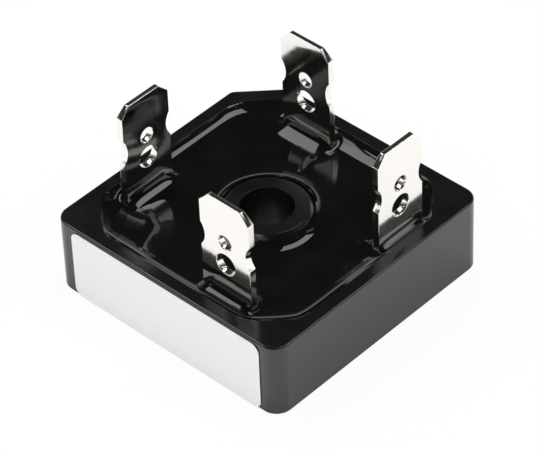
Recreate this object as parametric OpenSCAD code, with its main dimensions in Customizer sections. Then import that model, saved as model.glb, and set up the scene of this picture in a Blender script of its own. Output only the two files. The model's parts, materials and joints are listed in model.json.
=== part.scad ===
// Bridge rectifier: four diode dies on an insulated metal base, in a square
// moulded case with four push-on tabs and a centre bore for one screw.
// Millimetres. The origin is the middle of the face that it rests on.

/* [Case] */
// Width of the case, the same both ways
case_w = 28.5; // [27.5:0.1:32]
// Height of the rim above the resting face
case_h = 8.3; // [7.8:0.1:10]
// Thickness of the walls round the cavity
wall = 1.4; // [1.2:0.05:1.7]
// Leg of the corner that is cut off beside the plus tab
key_cut = 4.1; // [3.5:0.1:5]
// Radius of the three other upright corners
corner_r = 1.7; // [1:0.1:2.2]
// Radius of the two upright edges of the cut-off corner
key_r = 0.8; // [0.5:0.1:1.2]
// Rounding along the outer edge of the rim
edge_r = 0.2; // [0.1:0.05:0.5]
// Leg of the blocks that fill the corners of the cavity
block_leg = 3.6; // [3:0.1:4.2]

/* [Centre sleeve] */
// Diameter of the bore for the mounting screw
bore_d = 5.3; // [4.5:0.1:5.8]
// Outer diameter of the sleeve round the bore
sleeve_d = 9.2; // [8.6:0.1:9.4]
// How far the sleeve stands above the rim
sleeve_rise = 0.05; // [0:0.05:0.4]
// Bevel on the outer edge of the sleeve's top
sleeve_bevel = 0.55; // [0.3:0.05:0.7]
// Thickness of the ribs that tie the sleeve to the walls
rib_t = 0.8; // [0.6:0.05:0.9]
// Height of the ribs above the insulating sheet
rib_h = 1.1; // [0.7:0.05:1.4]

/* [Base] */
// Thickness of the metal base plate
plate_t = 1.6; // [1.2:0.1:2]
// How far the plate stands below the case
plate_proud = 0.1; // [0.05:0.05:0.2]
// Plastic left outside the plate on each side
plate_skin = 1.6; // [1.5:0.05:1.7]
// How far the case's ledge laps over the plate's edge
ledge_lap = 0.7; // [0.5:0.05:0.8]
// Thickness of the ledge
ledge_t = 1; // [0.7:0.1:1.3]
// Thickness of the insulating ceramic sheet
sheet_t = 0.6; // [0.4:0.05:0.8]

/* [Circuit] */
// Thickness of the copper pads on the ceramic sheet
pad_t = 0.3; // [0.2:0.05:0.4]
// Side of each square diode die
die_w = 4.1; // [3.4:0.1:4.2]
// Thickness of each diode die
die_t = 0.35; // [0.25:0.05:0.5]
// Width of the copper straps
strap_w = 3; // [2:0.1:3.3]
// Thickness of the copper straps
strap_t = 0.3; // [0.2:0.05:0.4]

/* [Terminals] */
// Width of the push-on tabs
tab_w = 6.1; // [6:0.05:6.5]
// Thickness of the push-on tabs
tab_t = 0.75; // [0.6:0.05:1]
// Height of the tabs' tips above the resting face
tab_top = 19; // [17.5:0.1:21]
// Leg of the corners cut off each tip
tip_cut = 1.05; // [0.8:0.05:1.6]
// Height of the bevels on the tips
tip_bevel = 1; // [0.5:0.05:1.2]
// Depth of the bevels on the tips, on each face
tip_bevel_depth = 0.12; // [0.06:0.01:0.22]
// Diameter of the upper, small hole
small_hole_d = 1.65; // [1.2:0.05:1.8]
// Distance from the tip to the middle of the small hole
small_hole_drop = 4.65; // [4.4:0.05:4.9]
// Diameter of the lower, large hole
large_hole_d = 2.35; // [2:0.05:2.5]
// Distance from the tip to the middle of the large hole
large_hole_drop = 7.25; // [7.1:0.05:7.6]
// Length of the notches in both edges
notch_len = 2.75; // [1.6:0.05:3]
// Depth of the notches
notch_depth = 0.5; // [0.3:0.05:0.6]
// Distance from the tip to the middle of the notches
notch_drop = 5; // [4.5:0.05:5.5]
// Inner radius of the bend above the foot
bend_r = 0.8; // [0.5:0.05:1]
// Width of the foot that is soldered to the pad
foot_w = 2.7; // [2:0.05:2.75]
// Length of the foot, measured from the outer face of the tab
foot_len = 3.5; // [3:0.1:3.6]

/* [Terminal places] */
// Gap between the minus tab and the wall beside it
minus_gap = 1.7; // [0.8:0.05:2.2]
// Distance of the minus tab along the wall from its middle
minus_along = 5.4; // [4.7:0.1:6.5]
// Gap between the second AC tab and the wall beside it
ac_2_gap = 0.9; // [0.8:0.05:2.2]
// Distance of the second AC tab along the wall from its middle
ac_2_along = 5.4; // [4.7:0.1:6.5]
// Gap between the plus tab and the wall beside it
plus_gap = 1.35; // [0.8:0.05:2.2]
// Distance of the plus tab along the wall from its middle
plus_along = 4.8; // [4.7:0.1:6.5]
// Gap between the first AC tab and the wall beside it
ac_1_gap = 1.55; // [0.8:0.05:2.2]
// Distance of the first AC tab along the wall from its middle
ac_1_along = 4.9; // [4.7:0.1:6.5]

/* [Potting] */
// Depth of the potting's level, in its middle, below the rim
potting_drop = 1.2; // [1.2:0.05:1.5]
// How far the bowl of the potting rises towards the walls
bowl = 0.4; // [0.1:0.05:0.4]
// How far the potting climbs the walls, the sleeve and the tabs
climb = 0.75; // [0.3:0.05:0.75]
// How far out the steep part of the climb reaches
climb_reach = 1.2; // [0.8:0.05:1.3]
// Flat width of the potting's edge along the walls
climb_lip = 0.06; // [0.04:0.01:0.1]

/* [Label] */
// Length of the label
label_w = 24; // [20:0.1:24.5]
// Gap between the label and the rim
label_gap = 0.35; // [0.2:0.05:1]
// Thickness of the label
label_t = 0.1; // [0.08:0.02:0.2]
// Radius of the label's corners
label_r = 0.9; // [0.5:0.1:1.5]
// How far the label sits right of the middle
label_shift = 0.2; // [0:0.05:0.3]

/* [Clearances] */
// Gap round the base plate in its rebate
plate_clear = 0.1; // [0.05:0.05:0.2]
// Gap round the ceramic sheet, at the ledge and at the sleeve
sheet_clear = 0.15; // [0.1:0.05:0.25]
// Bare ceramic along each edge of a pad
pad_margin = 0.2; // [0.15:0.05:0.3]
// Bare pad round each die
die_margin = 0.3; // [0.2:0.05:0.4]
// Gap between the ribs and the straps that cross them
strap_clear = 0.3; // [0.2:0.05:0.4]

/* [Hidden] */
$fn = 64;
// Allowance by which a cut runs past the face that it opens
past = 1;

// Half widths, from the outside in
half = case_w / 2;
cavity = half - wall;
rebate = half - plate_skin;
plate = rebate - plate_clear;
ledge = plate - ledge_lap;
sheet = ledge - sheet_clear;
pad = sheet - pad_margin;

// Heights, from the floor up
plate_top = plate_t;
ledge_top = plate_top + ledge_t;
sheet_top = plate_top + sheet_t;
rib_top = sheet_top + rib_h;
pad_top = sheet_top + pad_t;
die_top = pad_top + die_t;
potting_z = case_h - potting_drop;
sleeve_top = case_h + sleeve_rise;

// Radii about the bore
sleeve_r = sleeve_d / 2;
sheet_hole_r = sleeve_r + sheet_clear;
pad_hole_r = sheet_hole_r + pad_margin;

// Where a die sits: clear of the rib beside it and of the pad's inner arc
pad_edge = rib_t / 2 + pad_margin;
die_side = pad_edge + die_margin + die_w / 2;
die_out = pad_hole_r + die_margin + die_w / 2;

// Distance of the cut corners from the middle, along either axis summed
key_sum = 2 * half - key_cut;
block_sum = 2 * cavity - block_leg;

// Every terminal is the minus one turned about the bore
TURN_MINUS = 0;
TURN_AC_2 = 90;
TURN_PLUS = 180;
TURN_AC_1 = 270;

// A square of half width h with its four corners cut where |x| + |y| = s
function cut_square(h, s) = [
    for (t = [0:90:270], p = [[h, s - h], [s - h, h]])
        [p.x * cos(t) - p.y * sin(t), p.x * sin(t) + p.y * cos(t)]
];

// The label runs from the foot of the case to just below the rim
label_h = case_h - plate_proud - label_gap;

// The s that keeps a cut corner parallel to the blocks, d further in
function block_in(d) = block_sum - d * sqrt(2);

// Outline of a strip of thickness t along the points p of its middle line
function side_of(p, i) = let (
    a = p[max(i - 1, 0)],
    b = p[min(i + 1, len(p) - 1)],
    u = i == 0 ? p[1] - p[0] : p[i] - a,
    v = i == len(p) - 1 ? u : b - p[i],
    m = u / norm(u) + v / norm(v),
    n = [-m.y, m.x] / norm(m)
) n / (n * [-u.y, u.x] / norm(u));
function strip(p, t) = concat(
    [for (i = [0:len(p) - 1]) p[i] + side_of(p, i) * t / 2],
    [for (i = [len(p) - 1:-1:0]) p[i] - side_of(p, i) * t / 2]
);

module ring_hole(r, low, high) {
    translate([0, 0, low - past])
        cylinder(r = r, h = high - low + 2 * past);
}

// ---- Case ----

// One upright corner, rounded at the top by edge_r
module corner_post(x, y, r) {
    translate([x, y, plate_proud])
        rotate_extrude($fn = 48)
            intersection() {
                union() {
                    square([r, case_h - plate_proud - edge_r]);
                    square([r - edge_r, case_h - plate_proud]);
                    translate([r - edge_r, case_h - plate_proud - edge_r])
                        circle(r = edge_r, $fn = 24);
                }
                square([r, case_h]);
            }
}

module outer_form() {
    c = half - corner_r;
    k = half - key_r;
    // Middle of the small radii where the cut-off corner meets the walls
    m = key_sum - key_r * sqrt(2) - k;
    hull() {
        corner_post(c, c, corner_r);
        corner_post(c, -c, corner_r);
        corner_post(-c, -c, corner_r);
        corner_post(-k, m, key_r);
        corner_post(-m, k, key_r);
    }
}

module sleeve_form() {
    rotate_extrude()
        polygon([
            [0, plate_top],
            [sleeve_r, plate_top],
            [sleeve_r, sleeve_top - sleeve_bevel],
            [sleeve_r - sleeve_bevel, sleeve_top],
            [0, sleeve_top]
        ]);
}

module ribs() {
    for (t = [0, 90])
        rotate(t)
            translate([-cavity - wall / 2, -rib_t / 2, sheet_top])
                cube([2 * cavity + wall, rib_t, rib_h]);
}

module case() {
    color([0.07, 0.07, 0.07])
        difference() {
            union() {
                difference() {
                    outer_form();
                    translate([0, 0, ledge_top])
                        linear_extrude(case_h)
                            polygon(cut_square(cavity, block_sum));
                    translate([0, 0, plate_top - past])
                        linear_extrude(case_h)
                            polygon(cut_square(ledge, block_in(ledge_lap)));
                    translate([0, 0, -past])
                        linear_extrude(plate_top + past)
                            polygon(cut_square(rebate, block_sum));
                }
                ribs();
                sleeve_form();
            }
            ring_hole(bore_d / 2, 0, sleeve_top);
        }
}

// ---- Base ----

module base_plate() {
    color([0.75, 0.76, 0.78])
        difference() {
            linear_extrude(plate_t)
                polygon(cut_square(plate, block_in(plate_clear)));
            ring_hole(bore_d / 2, 0, plate_top);
        }
}

module ceramic_sheet() {
    color([0.92, 0.92, 0.88])
        translate([0, 0, plate_top])
            difference() {
                linear_extrude(sheet_t)
                    polygon(cut_square(sheet, block_in(ledge_lap + sheet_clear)));
                ring_hole(sheet_hole_r, 0, sheet_t);
            }
}

// ---- Circuit ----

// One quarter of the copper on the ceramic sheet
module pad_at(turn) {
    s = block_in(ledge_lap + sheet_clear + pad_margin);
    color([0.8, 0.5, 0.32])
        translate([0, 0, sheet_top])
            rotate(turn)
                linear_extrude(pad_t)
                    difference() {
                        polygon([
                            [pad_edge, -pad_edge],
                            [pad_edge, -pad],
                            [s - pad, -pad],
                            [pad, pad - s],
                            [pad, -pad_edge]
                        ]);
                        circle(r = pad_hole_r);
                    }
}

// Places on both sides of the rib at a turn; side is -1 or 1
module beside_rib(turn, side) {
    rotate(turn)
        translate([side * die_side, -die_out, 0])
            children();
}

module die_at(turn, side) {
    color([0.35, 0.36, 0.4])
        beside_rib(turn, side)
            translate([-die_w / 2, -die_w / 2, pad_top])
                cube([die_w, die_w, die_t]);
}

// A strap from the top of the die on one side of a rib to the pad on the other
module strap_at(turn, side) {
    // Flat length on the die and on the pad
    flat = die_w / 2 - die_margin;
    near = die_side - flat / 2;
    high = rib_top + strap_clear + strap_t / 2;
    low = pad_top + strap_t / 2;
    die_z = die_top + strap_t / 2;
    brow = rib_t / 2 + strap_clear;
    color([0.82, 0.53, 0.35])
        rotate(turn)
            translate([0, -die_out + strap_w / 2, 0])
                rotate([90, 0, 0])
                    linear_extrude(strap_w)
                        polygon(strip([
                            [side * (die_side + flat), die_z],
                            [side * near, die_z],
                            [side * brow, high],
                            [-side * brow, high],
                            [-side * near, low],
                            [-side * (die_side + flat), low]
                        ], strap_t));
}

// ---- Terminals ----

// The tab, bend and foot seen from the side: x runs inward from the outer face
module tab_side() {
    r = bend_r + tab_t;
    difference() {
        union() {
            translate([0, pad_top + r])
                square([tab_t, tab_top - pad_top - r]);
            translate([r, pad_top])
                square([foot_len - r, tab_t]);
            intersection() {
                translate([0, pad_top])
                    square(r);
                translate([r, pad_top + r])
                    difference() {
                        circle(r = r);
                        circle(r = bend_r);
                    }
            }
        }
        for (side = [0, 1])
            translate([side * tab_t, tab_top])
                mirror([side, 0])
                    polygon([
                        [-past, past],
                        [-past, -tip_bevel],
                        [0, -tip_bevel],
                        [tip_bevel_depth, 0],
                        [tip_bevel_depth, past]
                    ]);
    }
}

// The tab seen from the front: x runs along the wall from the tab's middle
module tab_front() {
    w = tab_w / 2;
    // Lowest point of the half that has no foot
    hem = pad_top + tab_t + bend_r + tab_t / 2;
    notch_r = (notch_len * notch_len / 4 + notch_depth * notch_depth)
        / (2 * notch_depth);
    difference() {
        polygon([
            [w, pad_top - past],
            [w, tab_top - tip_cut],
            [w - tip_cut, tab_top],
            [tip_cut - w, tab_top],
            [-w, tab_top - tip_cut],
            [-w, hem],
            [w - foot_w, hem],
            [w - foot_w, pad_top - past]
        ]);
        for (side = [-1, 1])
            translate([side * (w - notch_depth + notch_r), tab_top - notch_drop])
                circle(r = notch_r);
        translate([0, tab_top - small_hole_drop])
            circle(d = small_hole_d);
        translate([0, tab_top - large_hole_drop])
            circle(d = large_hole_d);
    }
}

module terminal_at(turn, gap, along) {
    color([0.78, 0.77, 0.74])
        rotate(turn)
            translate([along, -cavity + gap, 0])
                intersection() {
                    translate([-tab_w / 2, 0, 0])
                        rotate([90, 0, 90])
                            linear_extrude(tab_w)
                                tab_side();
                    translate([0, foot_len + past, 0])
                        rotate([90, 0, 0])
                            linear_extrude(foot_len + 2 * past)
                                tab_front();
                }
}

// ---- Potting and label ----

// The potting that climbs one tab
module tab_climb(turn, gap, along) {
    rotate(turn)
        translate([along, -cavity + gap + tab_t / 2, potting_z - climb])
            hull() {
                linear_extrude(climb + bowl / 2)
                    square([tab_w + 2 * climb_reach, tab_t + 2 * climb_reach],
                        center = true);
                linear_extrude(bowl + 2 * climb)
                    square([tab_w, tab_t], center = true);
            }
}

// The bowl left over the potting, as half widths and their heights
BOWL = [
    [sleeve_r + climb_reach, 0],
    [cavity - 2.5 * climb_reach, 0.5 * bowl + 0.04 * climb],
    [cavity - 1.1 * climb_reach, 0.75 * bowl + 0.25 * climb],
    [cavity - 0.4 * climb_reach, 0.95 * bowl + 0.6 * climb],
    [cavity - climb_lip, bowl + climb],
    [cavity - climb_lip, bowl + climb + past]
];

module bowl_form() {
    brim = cavity - climb_lip;
    last = len(BOWL) - 1;
    polyhedron(
        points = [
            for (b = BOWL, p = cut_square(b.x, block_in(climb_lip) * b.x / brim))
                [p.x, p.y, potting_z + b.y]
        ],
        faces = concat(
            [[for (k = [0:7]) k]],
            [[for (k = [7:-1:0]) 8 * last + k]],
            [
                for (i = [0:last - 1], k = [0:7])
                    [
                        8 * i + k,
                        8 * i + 8 + k,
                        8 * i + 8 + (k + 1) % 8,
                        8 * i + (k + 1) % 8
                    ]
            ]
        )
    );
}

module potting_form() {
    linear_extrude(ledge_top)
        polygon(cut_square(ledge, block_in(ledge_lap)));
    difference() {
        translate([0, 0, ledge_top])
            linear_extrude(potting_z + bowl + climb - ledge_top)
                polygon(cut_square(cavity, block_sum));
        bowl_form();
    }
    rotate_extrude()
        polygon([
            [0, ledge_top],
            [sleeve_r + 1.8 * climb_reach, ledge_top],
            [sleeve_r + 1.8 * climb_reach, potting_z],
            [sleeve_r + 1.1 * climb_reach, potting_z + 0.25 * climb],
            [sleeve_r + 0.4 * climb_reach, potting_z + 0.6 * climb],
            [sleeve_r, potting_z + climb],
            [0, potting_z + climb]
        ]);
    intersection() {
        linear_extrude(case_h)
            polygon(cut_square(cavity, block_sum));
        union() {
            tab_climb(TURN_MINUS, minus_gap, minus_along);
            tab_climb(TURN_AC_2, ac_2_gap, ac_2_along);
            tab_climb(TURN_PLUS, plus_gap, plus_along);
            tab_climb(TURN_AC_1, ac_1_gap, ac_1_along);
        }
    }
}

module potting() {
    color([0.03, 0.03, 0.03])
        difference() {
            potting_form();
            translate([0, 0, -past])
                linear_extrude(plate_top + past)
                    square(case_w, center = true);
            ceramic_sheet();
            ribs();
            ring_hole(sleeve_r, 0, sleeve_top);
            for (turn = [TURN_MINUS, TURN_AC_2, TURN_PLUS, TURN_AC_1])
                pad_at(turn);
            die_1();
            die_2();
            die_3();
            die_4();
            strap_1();
            strap_2();
            strap_3();
            strap_4();
            terminal_minus();
            terminal_ac_2();
            terminal_plus();
            terminal_ac_1();
        }
}

module label() {
    inner = [label_w - 2 * label_r, label_h - 2 * label_r];
    color([0.93, 0.93, 0.94])
        translate([label_shift, -half, plate_proud + label_h / 2])
            rotate([90, 0, 0])
                linear_extrude(label_t) {
                    square([label_w, inner.y], center = true);
                    square([inner.x, label_h], center = true);
                    for (x = [-1, 1], y = [-1, 1])
                        translate([x * inner.x / 2, y * inner.y / 2])
                            circle(r = label_r);
                }
}

// ---- Sub-parts that repeat, each at its place ----

module pad_minus() pad_at(TURN_MINUS);
module pad_ac_2() pad_at(TURN_AC_2);
module pad_plus() pad_at(TURN_PLUS);
module pad_ac_1() pad_at(TURN_AC_1);

// Dies 1 and 2 stand on the plus pad, dies 3 and 4 on the AC pads
module die_1() die_at(TURN_AC_1, -1);
module die_2() die_at(TURN_PLUS, 1);
module die_3() die_at(TURN_MINUS, -1);
module die_4() die_at(TURN_AC_2, 1);

// Straps 1 and 2 end on the AC pads, straps 3 and 4 on the minus pad
module strap_1() strap_at(TURN_AC_1, -1);
module strap_2() strap_at(TURN_PLUS, 1);
module strap_3() strap_at(TURN_MINUS, -1);
module strap_4() strap_at(TURN_AC_2, 1);

module terminal_minus() terminal_at(TURN_MINUS, minus_gap, minus_along);
module terminal_ac_2() terminal_at(TURN_AC_2, ac_2_gap, ac_2_along);
module terminal_plus() terminal_at(TURN_PLUS, plus_gap, plus_along);
module terminal_ac_1() terminal_at(TURN_AC_1, ac_1_gap, ac_1_along);

case();
base_plate();
ceramic_sheet();
pad_minus();
pad_ac_2();
pad_plus();
pad_ac_1();
die_1();
die_2();
die_3();
die_4();
strap_1();
strap_2();
strap_3();
strap_4();
terminal_minus();
terminal_ac_2();
terminal_plus();
terminal_ac_1();
potting();
label();
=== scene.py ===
"""Looks of a bridge rectifier: a black moulded case with glossy potting, four
plated push-on tabs, a label and the circuit inside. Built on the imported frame.
"""
import json
import math

import bmesh
import bpy
import numpy as np
from mathutils import Matrix, Vector
from mathutils.geometry import delaunay_2d_cdt


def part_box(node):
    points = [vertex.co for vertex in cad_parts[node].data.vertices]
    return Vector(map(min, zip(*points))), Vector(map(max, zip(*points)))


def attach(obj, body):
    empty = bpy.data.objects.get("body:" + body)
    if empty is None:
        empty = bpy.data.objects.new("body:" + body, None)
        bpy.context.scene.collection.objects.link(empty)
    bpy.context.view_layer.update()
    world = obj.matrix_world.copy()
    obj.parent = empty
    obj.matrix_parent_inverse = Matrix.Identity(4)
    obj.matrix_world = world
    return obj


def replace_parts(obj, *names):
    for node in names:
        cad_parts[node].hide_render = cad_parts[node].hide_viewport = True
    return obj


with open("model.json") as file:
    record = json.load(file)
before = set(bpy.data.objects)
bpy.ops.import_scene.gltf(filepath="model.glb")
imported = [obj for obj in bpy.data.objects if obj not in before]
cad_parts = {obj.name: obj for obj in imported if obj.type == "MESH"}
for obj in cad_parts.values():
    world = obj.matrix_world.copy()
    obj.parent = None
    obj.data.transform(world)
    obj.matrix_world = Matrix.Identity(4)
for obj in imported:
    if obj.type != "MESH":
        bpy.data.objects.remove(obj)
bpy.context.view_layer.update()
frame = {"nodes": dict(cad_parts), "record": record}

MM = 0.001
NODES = frame["nodes"]


# ---------------------------------------------------------------- camera

CAMERA_AZIMUTH = 44.488
CAMERA_ELEVATION = 41.637
CAMERA_ROLL = -2.423
CAMERA_DISTANCE = 324.252 * MM
CAMERA_TARGET = Vector((-0.508, 0.79, 5.1)) * MM
CAMERA_LENS = 228.17
SENSOR_WIDTH = 36


def make_camera():
    """A long lens from above the corner between the label and the plain side."""
    a = math.radians(CAMERA_AZIMUTH)
    e = math.radians(CAMERA_ELEVATION)
    roll = math.radians(CAMERA_ROLL)
    back = Vector((math.sin(a) * math.cos(e), -math.cos(a) * math.cos(e), math.sin(e)))
    right = Vector((math.cos(a), math.sin(a), 0))
    up = back.cross(right)
    right, up = (
        right * math.cos(roll) + up * math.sin(roll),
        up * math.cos(roll) - right * math.sin(roll),
    )
    data = bpy.data.cameras.new("camera")
    data.lens = CAMERA_LENS
    data.sensor_width = SENSOR_WIDTH
    data.clip_start = 0.01
    data.clip_end = 10
    camera = bpy.data.objects.new("camera", data)
    bpy.context.scene.collection.objects.link(camera)
    place = Matrix((right, up, back)).transposed().to_4x4()
    place.translation = CAMERA_TARGET + back * CAMERA_DISTANCE
    camera.matrix_world = place
    bpy.context.scene.camera = camera


# ---------------------------------------------------------------- material helpers

# Nearly all of a noise texture's values lie between these
NOISE_LOW, NOISE_HIGH = 0.35, 0.65


class Material:
    """A node material with short calls for the few nodes used here."""

    def __init__(self, name, **values):
        self.material = bpy.data.materials.new(name)
        self.material.use_nodes = True
        self.tree = self.material.node_tree
        self.shader = self.tree.nodes["Principled BSDF"]
        self.coordinates = self.tree.nodes.new("ShaderNodeTexCoord").outputs["Object"]
        for socket, value in values.items():
            self.shader.inputs[socket.replace("_", " ")].default_value = value

    def node(self, kind, **settings):
        made = self.tree.nodes.new(kind)
        for name, value in settings.items():
            setattr(made, name, value)
        return made

    def link(self, source, target):
        self.tree.links.new(source, target)

    def stretched(self, scale):
        """Object coordinates, scaled by a vector."""
        mapping = self.node("ShaderNodeMapping")
        mapping.inputs["Scale"].default_value = scale
        self.link(self.coordinates, mapping.inputs["Vector"])
        return mapping.outputs["Vector"]

    def noise(self, size, detail=3, coordinates=None):
        """Noise whose lumps are about size metres across."""
        made = self.node("ShaderNodeTexNoise")
        made.inputs["Scale"].default_value = 1 / size
        made.inputs["Detail"].default_value = detail
        self.link(coordinates or self.coordinates, made.inputs["Vector"])
        return made.outputs["Fac"]

    def spread(self, value, low, high):
        """Goes from low to high as a noise value crosses its usual range."""
        made = self.node("ShaderNodeMapRange")
        made.inputs["From Min"].default_value = NOISE_LOW
        made.inputs["From Max"].default_value = NOISE_HIGH
        made.inputs["To Min"].default_value = low
        made.inputs["To Max"].default_value = high
        self.link(value, made.inputs["Value"])
        return made.outputs["Result"]

    def blend(self, value, first, second):
        """Goes from a first to a second colour as a noise value crosses its range."""
        ramp = self.node("ShaderNodeValToRGB")
        low, high = ramp.color_ramp.elements
        low.position, high.position = NOISE_LOW, NOISE_HIGH
        low.color, high.color = (*first, 1), (*second, 1)
        self.link(value, ramp.inputs["Fac"])
        return ramp.outputs["Color"]

    def bump(self, height, distance):
        made = self.node("ShaderNodeBump")
        made.inputs["Distance"].default_value = distance
        made.inputs["Strength"].default_value = 1.0
        self.link(height, made.inputs["Height"])
        return made.outputs["Normal"]

    def feed(self, **sources):
        """Links sources to the shader's sockets."""
        for socket, source in sources.items():
            self.link(source, self.shader.inputs[socket.replace("_", " ")])
        return self.material


# ---------------------------------------------------------------- materials


def moulded_plastic():
    m = Material("moulded_case", IOR=1.7)
    cloud = m.noise(3 * MM, 4)
    grain = m.noise(0.12 * MM, 2)
    return m.feed(
        Base_Color=m.blend(cloud, (0.004, 0.0038, 0.0036), (0.006, 0.0056, 0.0054)),
        Roughness=m.spread(cloud, 0.18, 0.22),
        Normal=m.bump(grain, 0.004 * MM),
    )


def potting_resin():
    m = Material("potting_resin", IOR=1.5)
    cloud = m.noise(4 * MM, 3)
    return m.feed(
        Base_Color=m.blend(cloud, (0.0035, 0.0035, 0.0035), (0.006, 0.0058, 0.0056)),
        Roughness=m.spread(cloud, 0.03, 0.06),
        Normal=m.bump(m.noise(2.5 * MM, 2), 0.004 * MM),
    )


def nickel_plate():
    m = Material("terminal_plate", Metallic=1.0)
    streaks = m.noise(0.25 * MM, 3, m.stretched((1, 1, 0.15)))
    return m.feed(
        Base_Color=m.blend(m.noise(2 * MM), (0.94, 0.915, 0.865), (0.96, 0.94, 0.9)),
        Roughness=m.spread(streaks, 0.08, 0.13),
        Normal=m.bump(streaks, 0.0015 * MM),
    )


def label_paper():
    m = Material("label_stock", IOR=1.45)
    fibre = m.noise(0.15 * MM, 3)
    return m.feed(
        Base_Color=m.blend(fibre, (0.88, 0.88, 0.9), (0.91, 0.91, 0.93)),
        Roughness=m.spread(fibre, 0.42, 0.5),
        Normal=m.bump(fibre, 0.001 * MM),
    )


def ground_aluminium():
    m = Material("base_metal", Metallic=1.0)
    lines = m.noise(0.12 * MM, 3, m.stretched((1, 0.03, 1)))
    return m.feed(
        Base_Color=m.blend(lines, (0.70, 0.71, 0.73), (0.80, 0.81, 0.83)),
        Roughness=m.spread(lines, 0.28, 0.42),
        Normal=m.bump(lines, 0.003 * MM),
    )


def speckled(name, first, second, size, rough, **values):
    """A plain material with fine colour variation, for what is inside."""
    m = Material(name, **values)
    grain = m.noise(size, 3)
    return m.feed(
        Base_Color=m.blend(grain, first, second),
        Roughness=m.spread(grain, *rough),
        Normal=m.bump(grain, 0.002 * MM),
    )


MATERIALS = {
    "moulded_case": moulded_plastic(),
    "potting_resin": potting_resin(),
    "terminal_plate": nickel_plate(),
    "label_stock": label_paper(),
    "base_metal": ground_aluminium(),
    "alumina": speckled(
        "alumina", (0.86, 0.86, 0.82), (0.92, 0.92, 0.88), 0.2 * MM, (0.5, 0.6)
    ),
    "copper": speckled(
        "copper", (0.72, 0.40, 0.25), (0.82, 0.50, 0.34), 0.4 * MM, (0.25, 0.38),
        Metallic=1.0,
    ),
    "silicon": speckled(
        "silicon", (0.28, 0.29, 0.33), (0.36, 0.37, 0.41), 0.5 * MM, (0.2, 0.3),
        Metallic=0.6,
    ),
}


# ---------------------------------------------------------------- carried-over nodes


def dress(node, slot, edge=0.0):
    """Gives a node its finish, and rounds its edges by edge metres."""
    part = NODES[node]
    part.data.materials.clear()
    part.data.materials.append(MATERIALS[slot])
    weld = part.modifiers.new("weld", "WELD")
    weld.merge_threshold = 0.0005 * MM
    flat = part.modifiers.new("flat", "DECIMATE")
    flat.decimate_type = "DISSOLVE"
    flat.angle_limit = math.radians(0.5)
    if edge:
        bevel = part.modifiers.new("bevel", "BEVEL")
        bevel.width = edge
        bevel.segments = 3
        bevel.limit_method = "ANGLE"
        bevel.angle_limit = math.radians(30)
    part.data.shade_smooth()
    level = part.modifiers.new("level", "WEIGHTED_NORMAL")
    level.keep_sharp = False
    level.weight = 80


make_camera()
for entry in frame["record"]["subparts"]:
    slot = entry["material_slot"]
    edges = {"terminal_plate": 0.05 * MM, "moulded_case": 0.08 * MM}
    dress(entry["node"], slot, edges.get(slot, 0.0))


# ---------------------------------------------------------------- potting

LABEL_GAP = 0.35 * MM
WALL = 1.4 * MM
BLOCK_LEG = 3.6 * MM
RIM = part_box("label")[1][2] + LABEL_GAP
CASE_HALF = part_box("case")[1][0]
CAVITY = CASE_HALF - WALL
BLOCK_SUM = 2 * CAVITY - BLOCK_LEG
SLEEVE_RADIUS = 4.6 * MM
LEVEL = RIM - 1.22 * MM
POTTING_FOOT = 2.6 * MM
TABS = ["terminal_minus", "terminal_ac_2", "terminal_plus", "terminal_ac_1"]
# Height of the climb at the walls, the sleeve and the tabs, and how far out it falls
# to a third of that
WALL_CLIMB, WALL_REACH = 0.75 * MM, 0.9 * MM
SLEEVE_CLIMB, SLEEVE_REACH = 0.9 * MM, 0.9 * MM
TAB_CLIMB, TAB_REACH = 0.85 * MM, 0.97 * MM
# Over this length the climb fades out past a blade's narrow end
TAB_END = 0.3 * MM
# The resin shrank as it cured, which left a shallow bowl
BOWL_DEPTH, BOWL_REACH = 0.4 * MM, 6 * MM
# The climb at a wall stays this far under the rim, within this distance of the wall
RIM_MARGIN = 0.05 * MM
WALL_MARGIN = 0.5 * MM
# How far the resin runs into what surrounds it, so that no gap shows
BITE = 0.02 * MM
MESH_STEP = 0.16 * MM
# Points between the outlines stay this far from them
MESH_CLEARANCE = 0.6 * MESH_STEP
SLEEVE_SIDES = 192
# A face whose normal rises more than this is part of the surface, not of a side
LYING = 0.3
# From this height above the rim a tab is only its upright blade
BLADE_FROM = 5 * MM


def blade(node):
    """Footprint of a tab's upright blade, from the part of its mesh near the tip."""
    part = NODES[node].data
    points = np.array([v.co for v in part.vertices])
    high = points[points[:, 2] > RIM + BLADE_FROM]
    low = high[:, :2].min(axis=0)
    top = high[:, :2].max(axis=0)
    return low, top


BLADES = [blade(node) for node in TABS]


def blade_distances(x, y, low, top):
    """How far outside a blade points lie, along x and along y; negative inside."""
    return np.maximum(low[0] - x, x - top[0]), np.maximum(low[1] - y, y - top[1])


def wall_distances(x, y):
    """Distance inward from each of the cavity's eight walls."""
    root = math.sqrt(2)
    straight = [CAVITY - x, CAVITY + x, CAVITY - y, CAVITY + y]
    slanted = [
        (BLOCK_SUM - a * x - b * y) / root for a in (-1, 1) for b in (-1, 1)
    ]
    return straight, slanted


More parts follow.
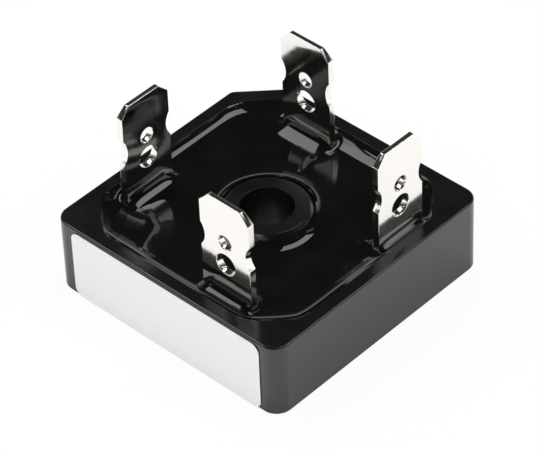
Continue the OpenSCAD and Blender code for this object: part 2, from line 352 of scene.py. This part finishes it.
def potting_height(x, y):
    """Level of the resin's surface, with its climb against whatever it touches."""
    straight, slanted = wall_distances(x, y)
    z = np.full_like(x, LEVEL)
    near = np.maximum(np.min(straight + slanted, axis=0), 0)
    z += BOWL_DEPTH * np.exp(-near / BOWL_REACH)
    # The climbs are summed as squares, so that two of them meet in a soft valley
    climb = np.zeros_like(x)
    for d in straight + slanted:
        climb += (WALL_CLIMB * np.exp(-np.maximum(d, 0) / WALL_REACH)) ** 2
    d = np.maximum(np.hypot(x, y) - SLEEVE_RADIUS, 0)
    climb += (SLEEVE_CLIMB * np.exp(-d / SLEEVE_REACH)) ** 2
    for low, top in BLADES:
        dx, dy = blade_distances(x, y, low, top)
        off = np.hypot(np.maximum(dx, 0), np.maximum(dy, 0))
        # It climbs less at a blade's narrow ends than at its faces
        past_end = dx if top[0] - low[0] > top[1] - low[1] else dy
        share = 1 / (1 + np.exp(past_end / TAB_END))
        climb += (share * TAB_CLIMB * np.exp(-off / TAB_REACH)) ** 2
    z += np.sqrt(climb)
    # Slight waves, so that mirrored edges aren't perfectly straight
    z += 0.003 * MM * np.sin(x / (1.1 * MM) + 1.3) * np.sin(y / (1.4 * MM) + 0.4)
    z += 0.01 * MM * np.sin(x / (2.3 * MM) - y / (2.9 * MM))
    return np.where(near < WALL_MARGIN, np.minimum(z, RIM - RIM_MARGIN), z)


def loop_points(corners, step):
    """Points along a closed outline, with its corners kept."""
    points = []
    for a, b in zip(corners, corners[1:] + corners[:1]):
        a, b = np.array(a), np.array(b)
        count = max(1, round(np.linalg.norm(b - a) / step))
        points += [a + (b - a) * i / count for i in range(count)]
    return points


def potting_loops():
    """Outlines of the resin seen from above: the cavity, the sleeve and each tab."""
    h, s = CAVITY + BITE, BLOCK_SUM + BITE * math.sqrt(2)
    outer = [
        (h, s - h), (s - h, h), (h - s, h), (-h, s - h),
        (-h, h - s), (h - s, -h), (s - h, -h), (h, h - s),
    ]
    loops = [loop_points(outer, MESH_STEP)]
    r = SLEEVE_RADIUS - BITE
    turns = np.linspace(0, 2 * math.pi, SLEEVE_SIDES, endpoint=False)
    loops.append([np.array((r * math.cos(t), r * math.sin(t))) for t in turns])
    for low, top in BLADES:
        a, b = low + BITE, top - BITE
        ring = [(a[0], a[1]), (b[0], a[1]), (b[0], b[1]), (a[0], b[1])]
        loops.append(loop_points(ring, MESH_STEP))
    return loops


def in_hole(x, y):
    """Whether a point lies inside the sleeve or inside a tab."""
    # The sleeve's outline is a polygon, whose sides lie a little inside its circle
    if math.hypot(x, y) < 0.9999 * (SLEEVE_RADIUS - BITE):
        return True
    return any(
        a[0] + BITE < x < b[0] - BITE and a[1] + BITE < y < b[1] - BITE
        for a, b in BLADES
    )


def make_potting():
    """A closed body of resin under one smooth surface, open round the sleeve and tabs."""
    loops = potting_loops()
    points, edges = [], []
    for loop in loops:
        start = len(points)
        points += loop
        edges += [
            (start + i, start + (i + 1) % len(loop)) for i in range(len(loop))
        ]
    rim_count = len(points)
    ticks = np.arange(-CAVITY, CAVITY, MESH_STEP)
    gx, gy = (g.ravel() for g in np.meshgrid(ticks, ticks))
    straight, slanted = wall_distances(gx, gy)
    clear = np.min(straight + slanted, axis=0)
    clear = np.minimum(clear, np.hypot(gx, gy) - SLEEVE_RADIUS)
    for low, top in BLADES:
        clear = np.minimum(clear, np.maximum(*blade_distances(gx, gy, low, top)))
    inside = clear > MESH_CLEARANCE
    points += list(np.column_stack((gx, gy))[inside])
    # The mesher works in whole units, so it is given millimetres
    flat = [Vector(p) / MM for p in points]
    top = delaunay_2d_cdt(flat, edges, [], 2, 1e-6)
    foot = delaunay_2d_cdt(flat[:rim_count], edges, [], 2, 1e-6)
    xy = np.array([tuple(v) for v in top[0]]) * MM
    z = potting_height(xy[:, 0], xy[:, 1])
    bm = bmesh.new()
    upper = [bm.verts.new((*p, q)) for p, q in zip(xy, z)]
    lower = [bm.verts.new((p[0] * MM, p[1] * MM, POTTING_FOOT)) for p in foot[0]]
    for layer, verts in ((top, upper), (foot, lower)):
        for face in layer[2]:
            middle = sum((layer[0][i] for i in face), Vector((0, 0))) / len(face)
            if not in_hole(middle.x * MM, middle.y * MM):
                bm.faces.new([verts[i] for i in face])
    # Both layers list the outlines' points first and in the same order
    for a, b in edges:
        bm.faces.new([upper[b], upper[a], lower[a], lower[b]])
    bmesh.ops.recalc_face_normals(bm, faces=bm.faces)
    for face in bm.faces:
        face.smooth = abs(face.normal.z) > LYING
    for edge in bm.edges:
        a, b = edge.link_faces
        edge.smooth = (abs(a.normal.z) > LYING) == (abs(b.normal.z) > LYING)
    return finish_piece(bm, "potting_fill", "potting_resin")


def finish_piece(bm, name, slot):
    """Makes an object of a mesh, gives it its finish and lets it ride on the part."""
    mesh = bpy.data.meshes.new(name)
    bm.to_mesh(mesh)
    bm.free()
    piece = bpy.data.objects.new(name, mesh)
    bpy.context.scene.collection.objects.link(piece)
    mesh.materials.append(MATERIALS[slot])
    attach(piece, "root")
    return piece


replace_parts(make_potting(), "potting")


# ---------------------------------------------------------------- stage and light


# Shares of the floor's look that glow white, to the camera and in mirrors
FLOOR_SEEN, FLOOR_MIRRORED = 0.92, 0.1
FLOOR_HALF = 3.0
FILL = 0.8
# Mirrors see a room that fades over these heights on a unit sphere
BAND_TOP, ROOM_FROM = 0.1, 0.28
BAND_GLOW, ROOM_GLOW = 1.0, 0.03
LAMP_DISTANCE = 1.0


def stage_material(name, seen, mirrored):
    """Glows by one share to the camera and by another in mirrors; lamps light the rest."""
    m = Material(name, Base_Color=(0.95, 0.95, 0.95, 1), Roughness=0.9)
    paths = m.node("ShaderNodeLightPath")
    shares = []
    for chooser, share in (("Is Camera Ray", seen), ("Is Glossy Ray", mirrored)):
        part = m.node("ShaderNodeMath", operation="MULTIPLY")
        part.inputs[1].default_value = share
        m.link(paths.outputs[chooser], part.inputs[0])
        shares.append(part.outputs["Value"])
    part = m.node("ShaderNodeMath", operation="ADD")
    m.link(shares[0], part.inputs[0])
    m.link(shares[1], part.inputs[1])
    glow = m.node("ShaderNodeEmission")
    mix = m.node("ShaderNodeMixShader")
    m.link(part.outputs["Value"], mix.inputs["Fac"])
    m.link(m.shader.outputs["BSDF"], mix.inputs[1])
    m.link(glow.outputs["Emission"], mix.inputs[2])
    m.link(mix.outputs["Shader"], m.tree.nodes["Material Output"].inputs["Surface"])
    return m.material


def make_floor():
    mesh = bpy.data.meshes.new("floor")
    h = FLOOR_HALF
    corners = [(-h, -h, 0), (h, -h, 0), (h, h, 0), (-h, h, 0)]
    mesh.from_pydata(corners, [], [(0, 1, 2, 3)])
    floor = bpy.data.objects.new("floor", mesh)
    bpy.context.scene.collection.objects.link(floor)
    mesh.materials.append(stage_material("floor", FLOOR_SEEN, FLOOR_MIRRORED))


def make_world():
    """White behind everything, and a dim studio to mirrors."""
    world = bpy.data.worlds.new("world")
    bpy.context.scene.world = world
    world.use_nodes = True
    tree = world.node_tree
    tree.nodes.clear()
    paths = tree.nodes.new("ShaderNodeLightPath")

    def lit(colour, strength):
        made = tree.nodes.new("ShaderNodeBackground")
        made.inputs["Color"].default_value = (*colour, 1)
        made.inputs["Strength"].default_value = strength
        return made.outputs["Background"]

    def either(chooser, no, yes):
        made = tree.nodes.new("ShaderNodeMixShader")
        tree.links.new(paths.outputs[chooser], made.inputs["Fac"])
        tree.links.new(no, made.inputs[1])
        tree.links.new(yes, made.inputs[2])
        return made.outputs["Shader"]

    fill = lit((1, 1, 1), FILL)
    # Mirrors see a bright band above the horizon and a dim room above that
    room = tree.nodes.new("ShaderNodeBackground")
    room.inputs["Color"].default_value = (1.0, 0.98, 0.95, 1)
    where = tree.nodes.new("ShaderNodeTexCoord")
    split = tree.nodes.new("ShaderNodeSeparateXYZ")
    fade = tree.nodes.new("ShaderNodeMapRange")
    fade.inputs["From Min"].default_value = BAND_TOP
    fade.inputs["From Max"].default_value = ROOM_FROM
    fade.inputs["To Min"].default_value = BAND_GLOW
    fade.inputs["To Max"].default_value = ROOM_GLOW
    tree.links.new(where.outputs["Generated"], split.inputs["Vector"])
    tree.links.new(split.outputs["Z"], fade.inputs["Value"])
    tree.links.new(fade.outputs["Result"], room.inputs["Strength"])
    studio = room.outputs["Background"]
    white = lit((1, 1, 1), 1.0)
    result = either("Is Camera Ray", either("Is Glossy Ray", fill, studio), white)
    output = tree.nodes.new("ShaderNodeOutputWorld")
    tree.links.new(result, output.inputs["Surface"])


def softbox(name, turn, height, wide, tall, strength):
    """An area lamp that faces the object, placed and sized in degrees.

    The turn is counted from +X towards +Y. Strength is the lamp's radiance.
    """
    a, e = math.radians(turn), math.radians(height)
    away = Vector((math.cos(a) * math.cos(e), math.sin(a) * math.cos(e), math.sin(e)))
    data = bpy.data.lights.new(name, "AREA")
    data.shape = "RECTANGLE"
    data.size = 2 * LAMP_DISTANCE * math.tan(math.radians(wide / 2))
    data.size_y = 2 * LAMP_DISTANCE * math.tan(math.radians(tall / 2))
    data.energy = strength * math.pi * data.size * data.size_y
    lamp = bpy.data.objects.new(name, data)
    bpy.context.scene.collection.objects.link(lamp)
    lamp.location = away * LAMP_DISTANCE
    lamp.rotation_mode = "QUATERNION"
    lamp.rotation_quaternion = away.to_track_quat("Z", "Y")


make_floor()
make_world()
softbox("high", 70, 67, 17, 27, 3.9)
softbox("back", 178, 57, 31, 14, 3.6)
softbox("strip_right", 50, 44.5, 30, 4.5, 1.4)
softbox("strip_left", 221.3, 44.8, 30, 4.5, 0.7)
softbox("side_right", 36, 14, 44, 26, 0.45)
softbox("side_left", 234, 14, 44, 26, 0.3)
bpy.context.scene.view_settings.view_transform = "Standard"
